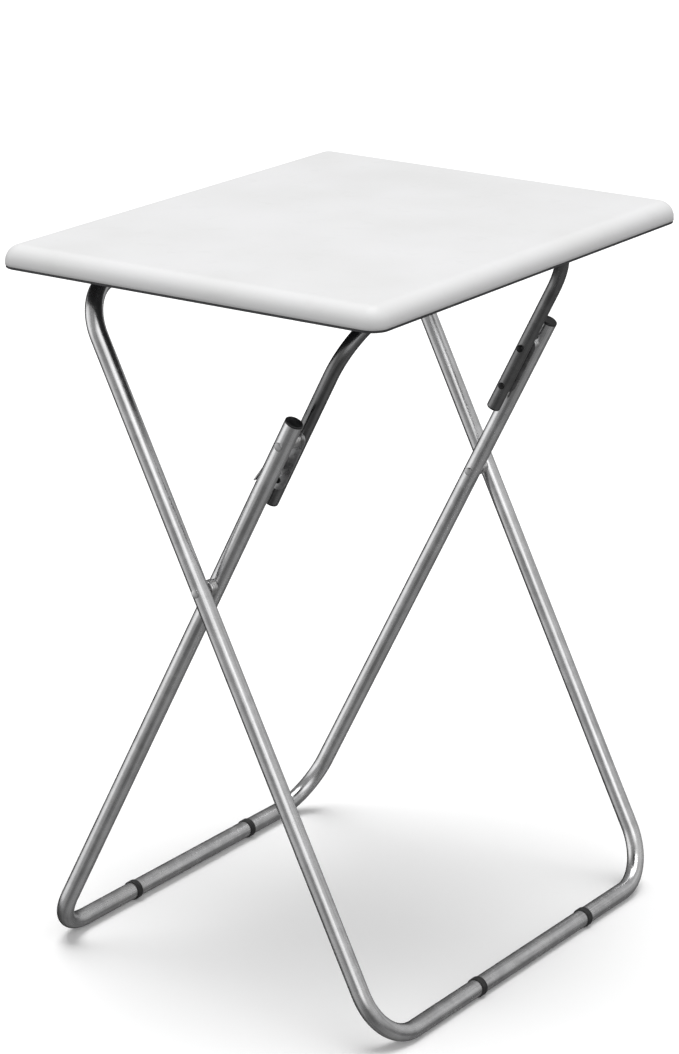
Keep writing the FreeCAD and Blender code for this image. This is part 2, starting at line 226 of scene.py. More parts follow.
def turned_mesh(name, profile, steps=ROUND_STEPS):
    """A shape turned about +Z from a closed outline of (radius, height). Radius 0 is a point on the axis."""
    bm = bmesh.new()
    rings = []
    for radius, height in profile:
        if radius == 0:
            rings.append([bm.verts.new((0, 0, height))])
            continue
        angles = [2 * math.pi * i / steps for i in range(steps)]
        rings.append(add_ring(bm, [(radius * math.cos(a), radius * math.sin(a), height) for a in angles]))
    closed = profile[0][0] > 0
    pairs = list(zip(rings, rings[1:]))
    if closed:
        pairs.append((rings[-1], rings[0]))
    for lower, upper in pairs:
        if len(lower) == 1 or len(upper) == 1:
            fan_ring(bm, lower, upper)
        else:
            join_rings(bm, lower, upper)
    return mesh_from(bm, name)


def fan_ring(bm, one, other):
    """Faces between a ring and a single point. Either may come first."""
    tip, ring = (one[0], other) if len(one) == 1 else (other[0], one)
    for i in range(len(ring)):
        bm.faces.new((tip, ring[i], ring[(i + 1) % len(ring)]))


def arc(centre, radius, start_degrees, end_degrees, steps):
    """Points of an arc as (first, second) pairs, both ends included."""
    points = []
    for i in range(steps + 1):
        angle = math.radians(start_degrees + (end_degrees - start_degrees) * i / steps)
        points.append((centre[0] + radius * math.cos(angle), centre[1] + radius * math.sin(angle)))
    return points


def turn_to(axis, at):
    """Puts a turned piece's +Z along the axis, at a place."""
    return Matrix.Translation(at) @ Z_AXIS.rotation_difference(axis).to_matrix().to_4x4()


def prism_mesh(name, outline, holes, length):
    """A flat outline in X and Z, with holes, made solid along Y from -length/2 to +length/2."""
    bm = bmesh.new()
    edges = []
    for loop in [outline] + holes:
        ring = add_ring(bm, [(x, -length / 2, z) for x, z in loop])
        edges += [bm.edges.new((ring[i], ring[(i + 1) % len(ring)])) for i in range(len(ring))]
    bmesh.ops.triangle_fill(bm, use_beauty=True, use_dissolve=False, edges=edges)
    bmesh.ops.dissolve_limit(
        bm, angle_limit=FLAT_ANGLE, verts=bm.verts, edges=bm.edges, use_dissolve_boundaries=False
    )
    made = bmesh.ops.extrude_face_region(bm, geom=bm.faces[:])
    moved = [item for item in made["geom"] if isinstance(item, bmesh.types.BMVert)]
    bmesh.ops.translate(bm, verts=moved, vec=(0, length, 0))
    return mesh_from(bm, name)


def joined_mesh(name, meshes):
    """One mesh of several, each at its own place."""
    bm = bmesh.new()
    for mesh, place in meshes:
        part = bmesh.new()
        part.from_mesh(mesh)
        bmesh.ops.transform(part, matrix=place, verts=part.verts)
        moved = bpy.data.meshes.new("moved")
        part.to_mesh(moved)
        part.free()
        bm.from_mesh(moved)
    return mesh_from(bm, name)


def combined(mesh, other, operation):
    """Adds one closed mesh to another, or cuts it out."""
    body = bpy.data.objects.new("body", mesh)
    tool = bpy.data.objects.new("tool", other)
    for item in (body, tool):
        bpy.context.scene.collection.objects.link(item)
    joint = body.modifiers.new("combine", "BOOLEAN")
    joint.object = tool
    joint.operation = operation
    joint.solver = "EXACT"
    bpy.context.view_layer.update()
    result = bpy.data.meshes.new_from_object(body.evaluated_get(bpy.context.evaluated_depsgraph_get()))
    bpy.data.objects.remove(body)
    bpy.data.objects.remove(tool)
    return result


# ================= materials =================
def with_alpha(value):
    """A colour of three numbers gets its fourth. Anything else stays as it is."""
    if isinstance(value, tuple) and len(value) == 3:
        return value + (1.0,)
    return value


class Shader:
    """A node material, built up one node at a time."""

    def __init__(self, name):
        self.material = bpy.data.materials.new(name)
        self.material.use_nodes = True
        self.tree = self.material.node_tree
        self.surface = self.tree.nodes["Principled BSDF"]

    def add(self, kind, inputs=None, **settings):
        node = self.tree.nodes.new("ShaderNode" + kind)
        for key, value in settings.items():
            setattr(node, key, value)
        for key, value in (inputs or {}).items():
            self.feed(node.inputs[key], value)
        return node

    def feed(self, socket, value):
        """Links another node's output, or sets a plain value."""
        if isinstance(value, bpy.types.NodeSocket):
            self.tree.links.new(value, socket)
        else:
            socket.default_value = value

    def own_place(self, stretch=(1, 1, 1)):
        """The piece's own coordinates in metres."""
        place = self.add("TexCoord").outputs["Object"]
        return self.add("Mapping", {"Vector": place, "Scale": stretch}).outputs[0]

    def drawn_place(self, stretch=(1, 1, 1)):
        """Along and around a tube as it was before bending, in metres."""
        place = self.add("Attribute", attribute_name="drawn").outputs["Vector"]
        return self.add("Mapping", {"Vector": place, "Scale": stretch}).outputs[0]

    def noise(self, place, scale, detail=3.0, roughness=0.55, distortion=0.0):
        """A cloudy value about 0.5. A scale of 1000 is about one cloud a millimetre."""
        inputs = {"Vector": place, "Scale": scale, "Detail": detail, "Roughness": roughness}
        inputs["Distortion"] = distortion
        return self.add("TexNoise", inputs).outputs[0]

    def spread(self, value, low, high, to_low=0.0, to_high=1.0):
        """Maps low..high of a value onto another range, and clamps it there."""
        inputs = {0: value, 1: low, 2: high, 3: to_low, 4: to_high}
        return self.add("MapRange", inputs).outputs[0]

    def math(self, operation, one, other):
        return self.add("Math", {0: one, 1: other}, operation=operation).outputs[0]

    def blend(self, share, one, other):
        """From one colour to another, as the share goes from 0 to 1."""
        node = self.add("Mix", data_type="RGBA")
        self.feed(node.inputs["Factor"], share)
        self.feed(node.inputs["A"], with_alpha(one))
        self.feed(node.inputs["B"], with_alpha(other))
        return node.outputs["Result"]

    def bump(self, height, distance, strength=1.0, under=None):
        """Relief: a height of 0 to 1 times a distance in metres, over another relief if there is one."""
        inputs = {"Height": height, "Distance": distance, "Strength": strength}
        node = self.add("Bump", inputs)
        if under is not None:
            self.feed(node.inputs["Normal"], under)
        return node.outputs[0]

    def set(self, **sockets):
        """Feeds the surface's own sockets, with _ for a space in their names."""
        for key, value in sockets.items():
            self.feed(self.surface.inputs[key.replace("_", " ")], with_alpha(value))


def grey(level):
    """A neutral colour with a trace of blue, like bare metal's."""
    return (level, level, level * 1.01)


def white_film():
    """Satin vinyl film over the board: faint mottling, orange peel, rubbed patches, fine scratches."""
    shader = Shader("white film")
    place = shader.own_place()
    cloud = shader.noise(place, 9.0, 3.0)
    rubbed = shader.spread(shader.noise(place, 38.0, 4.0, 0.65), 0.56, 0.72)
    peel = shader.noise(place, 620.0, 2.0)
    scratch_place = shader.own_place((9.0, 260.0, 30.0))
    scratch = shader.spread(shader.noise(scratch_place, 1.0, 2.0, 0.5, 0.6), 0.66, 0.74)
    tint = shader.blend(shader.spread(cloud, 0.35, 0.65), (0.675, 0.675, 0.675), (0.69, 0.69, 0.695))
    tint = shader.blend(shader.math("MULTIPLY", rubbed, 0.35), tint, (0.63, 0.63, 0.63))
    uneven = shader.math("ADD", cloud, shader.math("MULTIPLY", rubbed, 0.25))
    roughness = shader.spread(uneven, 0.3, 0.95, 0.42, 0.58)
    relief = shader.bump(peel, 0.05 * MM, 0.35)
    relief = shader.bump(scratch, 0.03 * MM, 0.25, relief)
    shader.set(Base_Color=tint, Roughness=roughness, Normal=relief, IOR=1.34)
    return shader.material


def dark_backing():
    """Charcoal laminate under the board, with a fine pebble and dusty scuffs."""
    shader = Shader("dark backing")
    place = shader.own_place()
    scuff = shader.spread(shader.noise(place, 22.0, 5.0, 0.7), 0.5, 0.75)
    pebble = shader.noise(place, 900.0, 2.0)
    tint = shader.blend(scuff, (0.035, 0.035, 0.038), (0.075, 0.075, 0.078))
    roughness = shader.spread(scuff, 0.0, 1.0, 0.5, 0.72)
    shader.set(Base_Color=tint, Roughness=roughness, Normal=shader.bump(pebble, 0.12 * MM, 0.5))
    return shader.material


def nickel(name, place_of, stretch, dull, clean, rough_low, rough_high):
    """Satin nickel plate on drawn steel: long die lines, cloudy plating, fine pitting."""
    shader = Shader(name)
    place = place_of(shader, (1, 1, 1))
    lines = shader.noise(place_of(shader, stretch), 1.0, 4.0, 0.6)
    fine_stretch = tuple(scale * 3.1 for scale in stretch)
    fine_lines = shader.noise(place_of(shader, fine_stretch), 1.0, 3.0, 0.6)
    clouds = shader.noise(place, 70.0, 5.0, 0.62, 0.4)
    pits = shader.spread(shader.noise(place, 950.0, 3.0, 0.6), 0.62, 0.74)
    worn = shader.spread(shader.noise(place, 21.0, 5.0, 0.7), 0.52, 0.72)
    shade = shader.math("ADD", shader.math("MULTIPLY", lines, 0.55), shader.math("MULTIPLY", clouds, 0.45))
    tint = shader.blend(shader.spread(shade, 0.36, 0.64), grey(dull), grey(clean))
    tint = shader.blend(shader.math("MULTIPLY", pits, 0.6), tint, grey(dull * 0.5))
    tint = shader.blend(shader.math("MULTIPLY", worn, 0.35), tint, (dull * 1.1, dull * 1.08, dull * 1.04))
    uneven = shader.math("ADD", clouds, shader.math("MULTIPLY", fine_lines, 0.6))
    roughness = shader.spread(uneven, 0.5, 1.1, rough_low, rough_high)
    relief = shader.bump(lines, 0.12 * MM, 0.35)
    relief = shader.bump(fine_lines, 0.04 * MM, 0.35, relief)
    relief = shader.bump(pits, 0.05 * MM, 0.4, relief)
    shader.set(Base_Color=tint, Metallic=1.0, Roughness=roughness, Normal=relief)
    return shader.material


def tube_nickel(name, dull, clean):
    """Its lines run along the tube, round every bend."""
    return nickel(name, Shader.drawn_place, (7.0, 420.0, 420.0), dull, clean, 0.16, 0.33)


def sheet_nickel(name, dull, clean):
    """Its lines are thin along the piece's own Y, and long the other ways."""
    return nickel(name, Shader.own_place, (90.0, 300.0, 90.0), dull, clean, 0.20, 0.38)


def zinc(name, level, rough_low, rough_high):
    """Bright zinc on small turned hardware: fine turning marks and dull spots."""
    shader = Shader(name)
    place = shader.own_place()
    spots = shader.spread(shader.noise(place, 480.0, 4.0, 0.65), 0.48, 0.7)
    marks = shader.noise(place, 2600.0, 2.0)
    tint = shader.blend(spots, grey(level), (level * 0.72, level * 0.7, level * 0.66))
    roughness = shader.spread(spots, 0.0, 1.0, rough_low, rough_high)
    shader.set(Base_Color=tint, Metallic=1.0, Roughness=roughness, Normal=shader.bump(marks, 0.03 * MM, 0.5))
    return shader.material


def black_oxide():
    """Blackened steel, rubbed to grey in spots."""
    shader = Shader("black oxide")
    place = shader.own_place()
    rubbed = shader.spread(shader.noise(place, 700.0, 4.0, 0.6), 0.55, 0.75)
    tint = shader.blend(rubbed, (0.012, 0.012, 0.013), (0.07, 0.068, 0.066))
    roughness = shader.spread(rubbed, 0.0, 1.0, 0.38, 0.55)
    shader.set(Base_Color=tint, Metallic=0.6, Roughness=roughness)
    shader.set(Normal=shader.bump(shader.noise(place, 1800.0), 0.04 * MM, 0.5))
    return shader.material


def black_plastic():
    """Moulded black plastic: a fine spark-eroded grain with paler rubbed patches."""
    shader = Shader("black plastic")
    place = shader.own_place()
    grain = shader.noise(place, 2300.0, 3.0, 0.6)
    rubbed = shader.spread(shader.noise(place, 160.0, 4.0, 0.6), 0.5, 0.75)
    tint = shader.blend(rubbed, (0.014, 0.014, 0.015), (0.034, 0.034, 0.036))
    roughness = shader.spread(shader.math("ADD", grain, rubbed), 0.3, 1.6, 0.4, 0.62)
    shader.set(Base_Color=tint, Roughness=roughness, Normal=shader.bump(grain, 0.08 * MM, 0.5))
    return shader.material


def black_rubber():
    """Matte rubber with a dusty bloom and a slightly open grain."""
    shader = Shader("black rubber")
    place = shader.own_place()
    dust = shader.spread(shader.noise(place, 330.0, 5.0, 0.7), 0.46, 0.74)
    grain = shader.noise(place, 1500.0, 4.0, 0.7)
    tint = shader.blend(dust, (0.011, 0.011, 0.012), (0.05, 0.049, 0.047))
    roughness = shader.spread(dust, 0.0, 1.0, 0.7, 0.9)
    shader.set(Base_Color=tint, Roughness=roughness, Normal=shader.bump(grain, 0.1 * MM, 0.6))
    return shader.material


def fibreboard():
    """Pressed wood fibre, inside the film."""
    shader = Shader("fibreboard")
    fibres = shader.noise(shader.own_place((1.0, 1.0, 3.0)), 260.0, 6.0, 0.7, 0.8)
    flecks = shader.spread(shader.noise(shader.own_place(), 1400.0, 3.0), 0.55, 0.7)
    tint = shader.blend(shader.spread(fibres, 0.3, 0.7), (0.30, 0.20, 0.12), (0.52, 0.40, 0.27))
    tint = shader.blend(shader.math("MULTIPLY", flecks, 0.5), tint, (0.16, 0.10, 0.06))
    roughness = shader.spread(fibres, 0.2, 0.8, 0.78, 0.95)
    shader.set(Base_Color=tint, Roughness=roughness, Normal=shader.bump(fibres, 0.2 * MM, 0.5))
    return shader.material


MATERIAL = {
    "white_film": white_film(),
    "board": fibreboard(),
    "dark_backing": dark_backing(),
    "nickel_tube": tube_nickel("nickel tube", 0.48, 0.74),
    # The link's tube: the frames' nickel, darker all over, as painted shade from the board above it.
    "dark_nickel": tube_nickel("nickel tube darkened as painted shade", 0.13, 0.24),
    "nickel_plate": sheet_nickel("nickel sheet", 0.42, 0.70),
    "steel_sleeve": zinc("plain steel", 0.6, 0.25, 0.45),
    "steel_rivet": sheet_nickel("nickel rivet", 0.34, 0.56),
    "zinc_screw": zinc("zinc screw", 0.66, 0.22, 0.45),
    "black_rivet": black_oxide(),
    "black_plastic": black_plastic(),
    "black_rubber": black_rubber(),
}
BODY_OF = {node: body for body, nodes in frame["record"]["behaviour"]["bodies"].items() for node in nodes}
SLOT_OF = {part["node"]: part["material_slot"] for part in frame["record"]["subparts"]}


def piece_for(node, name, mesh, place=None, sharp_degrees=SHARP_DEGREES):
    """A piece that stands for one CAD node, with that node's body and material."""
    slot = SLOT_OF[node]
    return new_piece(name, mesh, MATERIAL[slot], BODY_OF[node], [node], place, sharp_degrees)


# ================= table top =================
TOP_CORNER_R = 16 * MM
TOP_EDGE_R = 15 * MM
FILM_THICK = 0.8 * MM
EASED = 0.35 * MM           # a cut edge isn't quite sharp
FILM_SHARP_DEGREES = 50
CORNER_STEPS = 20
EDGE_STEPS = 14


def slab_outline(low, high, inset, corner_r):
    """A rectangle with rounded corners, as (x, y) points."""
    points = []
    corners = [(high.x, high.y, 0), (low.x, high.y, 90), (low.x, low.y, 180), (high.x, low.y, 270)]
    for x, y, start in corners:
        inward_x = -1 if x == high.x else 1
        inward_y = -1 if y == high.y else 1
        centre = (x + inward_x * corner_r, y + inward_y * corner_r)
        points += arc(centre, corner_r - inset, start, start + 90, CORNER_STEPS)
    return points


def slab_mesh(name, low, high, outside, inside=None):
    """Skins of (inset, z) from the bottom up, closed above. With an inside it is a shell, open below."""
    bm = bmesh.new()
    feet = []
    for profile in (outside, inside) if inside else (outside,):
        rings = []
        for inset, z in profile:
            rings.append(add_ring(bm, [(x, y, z) for x, y in slab_outline(low, high, inset, TOP_CORNER_R)]))
        for lower, upper in zip(rings, rings[1:]):
            join_rings(bm, lower, upper)
        bm.faces.new(rings[-1])
        feet.append(rings[0])
    if inside:
        join_rings(bm, feet[0], feet[1])
    else:
        bm.faces.new(feet[0])
    return mesh_from(bm, name)


def rounded_edge(inset):
    """Over the upper edge, as (inset, z), with everything moved inwards by the inset."""
    edge_r = TOP_EDGE_R - inset
    profile = []
    for out, up in arc((0, FILM_HIGH.z - TOP_EDGE_R), edge_r, 0, 90, EDGE_STEPS):
        profile.append((inset + edge_r - out, up))
    return profile


def table_top():
    """The white film and the dark sheet below it. The board between them is the CAD node."""
    outside = [(EASED, FILM_LOW.z), (0.0, FILM_LOW.z + EASED)] + rounded_edge(0.0)
    inside = [(FILM_THICK, FILM_LOW.z)] + rounded_edge(FILM_THICK)
    film = slab_mesh("film", FILM_LOW, FILM_HIGH, outside, inside)
    piece_for("tabletop_film", "top_white_film", film, sharp_degrees=FILM_SHARP_DEGREES)
    profile = [(EASED, BACKING_LOW.z), (0.0, BACKING_LOW.z + EASED)]
    profile += [(0.0, BACKING_HIGH.z - EASED), (EASED, BACKING_HIGH.z)]
    backing = slab_mesh("backing", BACKING_LOW, BACKING_HIGH, profile)
    piece_for("tabletop_backing_sheet", "top_dark_backing", backing)


# ================= frames =================
def frame_tubes():
    """The outer loop starts and ends at its butt joint. The inner frame and the link are open."""
    outer = [
        Vector((0, BUTT_GAP / 2, BAR_AT)),
        Vector((0, OUTER_Y, BAR_AT)),
        Vector((0, OUTER_Y, 0)),
        Vector((0, -OUTER_Y, 0)),
        Vector((0, -OUTER_Y, BAR_AT)),
        Vector((0, -BUTT_GAP / 2, BAR_AT)),
    ]
    outer_bends = [OUTER_TOP_BEND_R, FLOOR_BEND_R, FLOOR_BEND_R, OUTER_TOP_BEND_R]
    mesh = tube_mesh("outer frame", outer, outer_bends, LEG_R, LEG_WALL)
    piece_for("outer_frame_tube", "outer_frame", mesh, LEAN_OUTER)

    inner = u_shape(INNER_Y, INNER_LEG_END, 0)
    mesh = tube_mesh("inner frame", inner, [FLOOR_BEND_R] * 2, LEG_R, LEG_WALL)
    piece_for("inner_frame_tube", "inner_frame", mesh, LEAN_INNER)

    link = u_shape(LINK_Y, LINK_LEG_END, BAR_AT)
    mesh = tube_mesh("upper link", link, [LINK_BEND_R] * 2, LINK_R, LINK_WALL)
    piece_for("upper_link_tube", "upper_link", mesh, LEAN_INNER)


def u_shape(half_width, legs_end, bar_at):
    """Two legs and the bar between them, in order from one leg's end to the other's."""
    return [
        Vector((0, half_width, legs_end)),
        Vector((0, half_width, bar_at)),
        Vector((0, -half_width, bar_at)),
        Vector((0, -half_width, legs_end)),
    ]


RING_BITE = 0.1 * MM        # a ring grips its tube
RING_SHOULDER = 0.6 * MM
RING_GROOVE = 0.25 * MM
RING_SHARP_DEGREES = 60


def foot_rings():
    """Rubber bands with rounded shoulders and two shallow grooves."""
    for node in ("outer_foot_ring", "inner_foot_ring"):
        lean = LEAN_OUTER if node.startswith("outer") else LEAN_INNER
        for end in ENDS:
            low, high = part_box(node + "_" + end)
            half = (high.y - low.y) / 2
            mesh = turned_mesh("foot ring", ring_profile(LEG_R - RING_BITE, FLOOR_BAR_Z, half))
            place = lean @ turn_to(Y_AXIS, Vector((0, (low.y + high.y) / 2, 0)))
            piece_for(node + "_" + end, node + "_band_" + end, mesh, place, RING_SHARP_DEGREES)


def ring_profile(inner_r, outer_r, half):
    shoulder_r = outer_r - RING_SHOULDER
    shoulder_z = half - RING_SHOULDER
    profile = [(inner_r, -half)]
    profile += arc((shoulder_r, -shoulder_z), RING_SHOULDER, -90, 0, 4)
    for centre in (-half / 3, half / 3):
        profile.append((outer_r, centre - 2 * RING_GROOVE))
        profile.append((outer_r - RING_GROOVE, centre))
        profile.append((outer_r, centre + 2 * RING_GROOVE))
    profile += arc((shoulder_r, shoulder_z), RING_SHOULDER, 0, 90, 4)
    profile.append((inner_r, half))
    return profile


# ================= plugs =================
PLUG_HEAD = 2.0 * MM
PLUG_STEM = 14 * MM
PLUG_STEM_PLAY = 0.1 * MM
PLUG_RIB_PLAY = 0.02 * MM
PLUG_RIB_HALF = 0.8 * MM
PLUG_RIM = PLUG_HEAD * 0.55


def plug_profile(radius, wall):
    """Ribbed stem, then a head as wide as the tube with a rolled rim and a shallow dish."""
    stem_r = radius - wall - PLUG_STEM_PLAY
    rib_r = radius - wall - PLUG_RIB_PLAY
    profile = [(0, -PLUG_STEM), (stem_r * 0.8, -PLUG_STEM)]
    for rib in (0.75, 0.5, 0.25):
        z = -PLUG_STEM * rib
        profile += [(stem_r, z - PLUG_RIB_HALF), (rib_r, z), (stem_r, z + PLUG_RIB_HALF)]
    profile.append((stem_r, 0.02 * MM))
    profile.append((radius - 0.15 * MM, 0.02 * MM))
    profile.append((radius, 0.2 * MM))
    profile += arc((radius - PLUG_RIM, PLUG_HEAD - PLUG_RIM), PLUG_RIM, 0, 120, 8)
    dish = radius - 2.4 * PLUG_RIM
    profile.append((dish, PLUG_HEAD - 0.75 * PLUG_RIM))
    profile.append((dish * 0.5, PLUG_HEAD - 0.95 * PLUG_RIM))
    profile.append((0, PLUG_HEAD - PLUG_RIM))
    return profile


def plugs():
    kinds = (
        ("inner_leg_plug", INNER_Y, INNER_LEG_END, Z_AXIS, LEG_R, LEG_WALL),
        ("upper_link_plug", LINK_Y, LINK_LEG_END, -Z_AXIS, LINK_R, LINK_WALL),
    )
    for node, y, at, outward, radius, wall in kinds:
        for end, side in ENDS.items():
            mesh = turned_mesh("plug", plug_profile(radius, wall))
            place = LEAN_INNER @ turn_to(outward, Vector((0, side * y, at)))
            piece_for(node + "_" + end, node + "_cap_" + end, mesh, place)


# ================= pivots =================
RIVET_R = 2.5 * MM
RIVET_HEAD_R = 3.8 * MM
RIVET_HEAD_H = 0.9 * MM
SIDE_GAP = 0.3 * MM
CAP_R = 3.5 * MM
CAP_H = 2.2 * MM
CAP_DEEP = 1.5 * MM
CROSS_SPACER_R = 7 * MM
LINK_SPACER_R = 6 * MM
DOME_STEPS = 8


def dome(radius, base, height):
    """The outline of a head above a base: a short upright land, then a low dome to the middle."""
    land = height * 0.25
    points = [(radius, base), (radius, base + land)]
    for step in range(1, DOME_STEPS):
        angle = math.pi / 2 * step / DOME_STEPS
        points.append((radius * math.cos(angle), base + land + (height - land) * math.sin(angle)))
    points.append((0, base + height))
    return points


def mirrored(outline):
    """The same outline upside down, still in order from the bottom up."""
    return [(radius, -height) for radius, height in reversed(outline)]


def rivet_profile(tube_r, inner_face, inner_head):
    """Height 0 is the fixed tube's centreline. The outer head sinks a little into the tube's wall."""
    seat = tube_r - LEG_WALL * HEAD_SINK
    if inner_head:
        outline = mirrored(dome(RIVET_HEAD_R, -inner_face, RIVET_HEAD_H))
    else:
        outline = [(0, inner_face)]
    outline += [(RIVET_R, inner_face), (RIVET_R, seat), (RIVET_HEAD_R, seat)]
    return outline + dome(RIVET_HEAD_R, tube_r, RIVET_HEAD_H)


def bush_profile(radius, length):
    """A turned bush with chamfered ends and two fine grooves, from height 0 up."""
    chamfer = 0.5 * MM
    groove = 0.2 * MM
    bore = RIVET_R + 0.02 * MM
    outline = [(bore, 0.0), (radius - chamfer, 0.0), (radius, chamfer)]
    for share in (0.35, 0.65):
        middle = length * share
        outline += [(radius, middle - groove), (radius - groove, middle), (radius, middle + groove)]
    outline += [(radius, length - chamfer), (radius - chamfer, length), (bore, length)]
    return outline


def cap_profile():
    """A black push-on cap, with the hole that its rivet fills."""
    return [(0, CAP_DEEP), (RIVET_R, CAP_DEEP), (RIVET_R, 0.0)] + dome(CAP_R, 0.0, CAP_H)


def nearest_y(node):
    """How far from the middle a piece of a pair starts, and how far out it goes."""
    low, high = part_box(node)
    return min(abs(low.y), abs(high.y)), max(abs(low.y), abs(high.y))


def pivots():
    """A rivet and a bush each side, where the frames cross and where the link meets the inner frame."""
    kinds = (
        ("cross", LEAN_OUTER, CROSS_AT, OUTER_Y, CROSS_SPACER_R),
        ("link", LEAN_INNER, LINK_PIVOT_AT, INNER_Y, LINK_SPACER_R),
    )
    for kind, lean, at, fixed_y, bush_r in kinds:
        rivet_starts, _ = nearest_y(kind + "_rivet_front")
        bush_starts, bush_stops = nearest_y(kind + "_spacer_front")
        crossing = kind == "cross"
        inner_face = rivet_starts + (RIVET_HEAD_H if crossing else 0.0) - fixed_y
        for end, side in ENDS.items():
            outward = Y_AXIS * side
            mesh = turned_mesh("rivet", rivet_profile(LEG_R, inner_face, crossing))
            place = lean @ turn_to(outward, Vector((0, side * fixed_y, at)))
            piece_for(kind + "_rivet_" + end, kind + "_pivot_rivet_" + end, mesh, place)
            mesh = turned_mesh("bush", bush_profile(bush_r, bush_stops - bush_starts))
            place = lean @ turn_to(outward, Vector((0, side * bush_starts, at)))
            piece_for(kind + "_spacer_" + end, kind + "_pivot_bush_" + end, mesh, place)


def rivet_caps():
    """On the inboard ends of the link's rivets."""
    for end, side in ENDS.items():
        _, face_y = nearest_y("link_rivet_cap_" + end)
        place = LEAN_INNER @ turn_to(Y_AXIS * -side, Vector((0, side * face_y, LINK_PIVOT_AT)))
        piece_for("link_rivet_cap_" + end, "link_pivot_cap_" + end, turned_mesh("cap", cap_profile()), place)


# ================= stop plates =================
# The rivet's place and the ear's two ends are distances along the leg, from the floor bar.
STOP_SHEET = 1.2 * MM
STOP_RIVET_AT = 528 * MM
STOP_PLATE_R = 8.5 * MM
STOP_EAR_LOW = 528 * MM
STOP_EAR_HIGH = 544 * MM
STOP_EAR_PAST = 4.5 * MM
STOP_EAR_SHORT = 7.5 * MM
STOP_RIVET_R = 1.6 * MM
STOP_HEAD_R = 3.2 * MM
STOP_HEAD_H = 1.1 * MM
STOP_BEND_R = 0.5 * MM      # inside the ear's bend
STOP_EDGE = 0.25 * MM       # the bevel on its cut edges
DRILL_REACH = 8 * MM


def strip_outline():
    """The flat strip in X and Z, rounded about its two rivets."""
    lower = arc((0, STOP_RIVET_AT), STOP_PLATE_R, 180, 360, 24)
    upper = arc((0, LINK_PIVOT_AT), STOP_PLATE_R, 0, 180, 24)
    return lower + upper


def ear_section(reach):
    """From the strip round the bend and along the ear, as (x, outboard) points."""
    outer_x = -(LEG_R + SIDE_GAP + STOP_SHEET)
    bend_r = STOP_BEND_R + STOP_SHEET
    section = [(-STOP_PLATE_R / 2, 0.0)]
    for x, up in arc((0, 0), 1, 270, 180, 6):
        section.append((-STOP_PLATE_R + x * (-STOP_PLATE_R - outer_x), bend_r * (1 + up)))
    section += [(outer_x, reach), (outer_x + STOP_SHEET, reach)]
    section += arc((outer_x + bend_r, bend_r), STOP_BEND_R, 180, 270, 6)
    section.append((-STOP_PLATE_R / 2, STOP_SHEET))
    return section


def ear_mesh(side, face_y):
    """The bent ear. Its upper corner is cut back, so that its free edge slants."""
    reach = INNER_Y + STOP_EAR_PAST - face_y
    levels = ((STOP_EAR_LOW, reach), (STOP_EAR_HIGH, reach - STOP_EAR_SHORT))
    bm = bmesh.new()
    rings = []
    for z, out_to in levels:
        rings.append(add_ring(bm, [(x, side * (face_y + out), z) for x, out in ear_section(out_to)]))
    join_rings(bm, rings[0], rings[1])
    for ring in rings:
        bm.faces.new(ring)
    return mesh_from(bm, "stop ear")


def drill_mesh(side, face_y, at, radius):
    """A rod to cut a rivet's hole through the strip with."""
    outline = [(0, -DRILL_REACH), (radius, -DRILL_REACH), (radius, DRILL_REACH), (0, DRILL_REACH)]
    mesh = turned_mesh("drill", outline, 28)
    mesh.transform(turn_to(Y_AXIS, Vector((0, side * face_y, at))))
    return mesh


def stop_plates():
    """The strips lie against the link's outboard side, and each ear reaches past the inner leg's middle."""
    face_y = LINK_Y + LINK_R
    for end, side in ENDS.items():
        strip = prism_mesh("stop strip", strip_outline(), [], STOP_SHEET)
        strip.transform(Matrix.Translation((0, side * (face_y + STOP_SHEET / 2), 0)))
        plate = combined(strip, ear_mesh(side, face_y), "UNION")
        plate = combined(plate, drill_mesh(side, face_y, STOP_RIVET_AT, STOP_RIVET_R), "DIFFERENCE")
        plate = combined(plate, drill_mesh(side, face_y, LINK_PIVOT_AT, RIVET_R), "DIFFERENCE")
        piece = piece_for("stop_plate_" + end, "stop_bracket_" + end, plate, LEAN_INNER)
        bevel(piece, STOP_EDGE)


def stop_rivets():
    """Height 0 is the link's centreline, and up is outboard."""
    seat = LINK_R - LINK_WALL * HEAD_SINK
    plate_face = LINK_R + STOP_SHEET
    profile = mirrored(dome(STOP_HEAD_R, LINK_R, STOP_HEAD_H))
    profile += [(STOP_HEAD_R, -seat), (STOP_RIVET_R, -seat), (STOP_RIVET_R, plate_face)]
    profile += dome(STOP_HEAD_R, plate_face, STOP_HEAD_H)
    mesh = turned_mesh("stop rivet", profile, HARDWARE_STEPS)
    placed = []
    for side in ENDS.values():
        placed.append((mesh, turn_to(Y_AXIS * side, Vector((0, side * LINK_Y, STOP_RIVET_AT)))))
    piece_for("stop_plate_rivets", "stop_bracket_rivets", joined_mesh("stop rivets", placed), LEAN_INNER)


# ================= what holds the bars under the top =================
FLANGE_HALF = 22 * MM
FLANGE_THICK = 3 * MM
HOLDER_LENGTH = 16 * MM
CRADLE_GAP = 0.5 * MM
CRADLE_WALL = 3.5 * MM
CRADLE_LIPS = (5.0, 145.0)  # the seat's two ends, in degrees up from +X, which is inboard
RUN_FIT = 0.05 * MM         # between the link's bar and its saddles
SADDLE_WALL = 3 * MM
SCREW_OUT = 17 * MM
HOLDER_EDGE = 0.4 * MM


def holder_centre(node):
    """On the axis of the bar that it holds."""
    low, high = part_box(node)
    return Vector(((low.x + high.x) / 2, (low.y + high.y) / 2, LINK_BAR.z))


